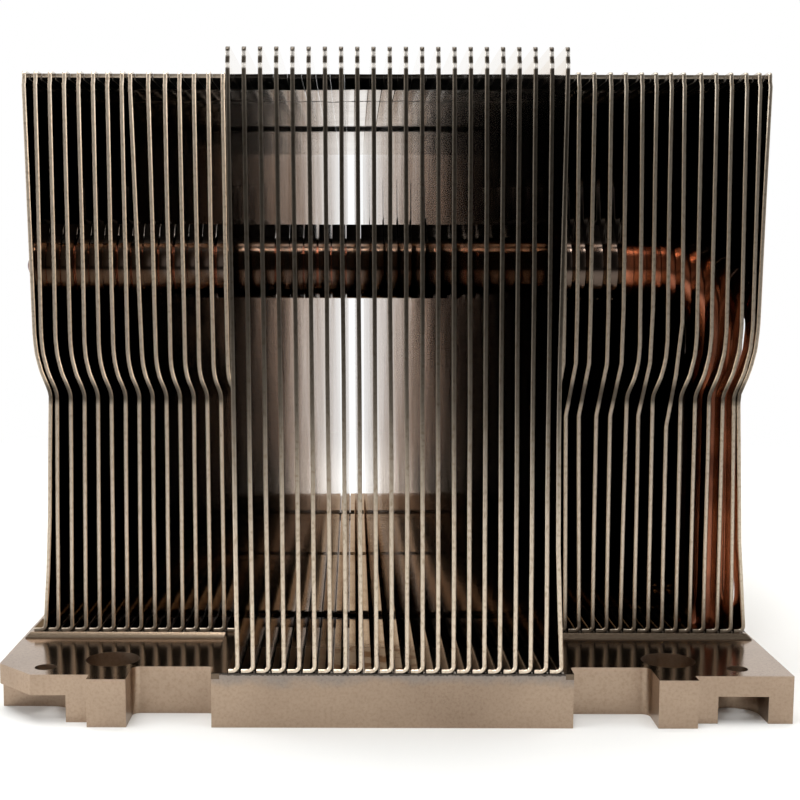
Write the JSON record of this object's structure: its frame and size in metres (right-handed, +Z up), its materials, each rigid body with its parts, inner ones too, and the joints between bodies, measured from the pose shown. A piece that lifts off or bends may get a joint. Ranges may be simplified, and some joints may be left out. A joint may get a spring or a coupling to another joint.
{
  "type": "passive cpu heatsink",
  "caption": "Passive server CPU heatsink: machined plated base, soldered sheet fins that step outward at the sides, C-shaped copper heat pipes and open shafts over the corner screw holes.",
  "frame": {"origin": "centre of the base's underside", "axes": "+X across the fins to the viewer's right, +Y along the air flow from the front to the rear, +Z up from the base to the fin tips"},
  "size_m": [0.078, 0.108, 0.064],
  "materials": {
    "base_plate": "satin nickel plating over machined copper, warm grey, lightly stained by solder at the front",
    "fin_sheet": "thin nickel-plated sheet, smooth and mirror-like on its faces, warm grey on its cut edges",
    "heat_pipe": "drawn copper tube, bare and heat-tinted at the bend"
  },
  "bodies": {
    "root": {"base": "base_plate", "heat_pipe_front": "heat_pipe", "heat_pipe_rear": "heat_pipe", "fin_left_01": "fin_sheet", "fin_left_02": "fin_sheet", "fin_left_03": "fin_sheet", "fin_left_04": "fin_sheet", "fin_left_05": "fin_sheet", "fin_left_06": "fin_sheet", "fin_left_07": "fin_sheet", "fin_left_08": "fin_sheet", "fin_left_09": "fin_sheet", "fin_left_10": "fin_sheet", "fin_left_11": "fin_sheet", "fin_left_12": "fin_sheet", "fin_left_13": "fin_sheet", "fin_left_14": "fin_sheet", "fin_left_15": "fin_sheet", "fin_centre_01": "fin_sheet", "fin_centre_02": "fin_sheet", "fin_centre_03": "fin_sheet", "fin_centre_04": "fin_sheet", "fin_centre_05": "fin_sheet", "fin_centre_06": "fin_sheet", "fin_centre_07": "fin_sheet", "fin_centre_08": "fin_sheet", "fin_centre_09": "fin_sheet", "fin_centre_10": "fin_sheet", "fin_centre_11": "fin_sheet", "fin_centre_12": "fin_sheet", "fin_centre_13": "fin_sheet", "fin_centre_14": "fin_sheet", "fin_centre_15": "fin_sheet", "fin_centre_16": "fin_sheet", "fin_centre_17": "fin_sheet", "fin_centre_18": "fin_sheet", "fin_centre_19": "fin_sheet", "fin_centre_20": "fin_sheet", "fin_centre_21": "fin_sheet", "fin_centre_22": "fin_sheet", "fin_right_01": "fin_sheet", "fin_right_02": "fin_sheet", "fin_right_03": "fin_sheet", "fin_right_04": "fin_sheet", "fin_right_05": "fin_sheet", "fin_right_06": "fin_sheet", "fin_right_07": "fin_sheet", "fin_right_08": "fin_sheet", "fin_right_09": "fin_sheet", "fin_right_10": "fin_sheet", "fin_right_11": "fin_sheet", "fin_right_12": "fin_sheet", "fin_right_13": "fin_sheet", "fin_right_14": "fin_sheet", "fin_right_15": "fin_sheet"}
  },
  "joints": []
}
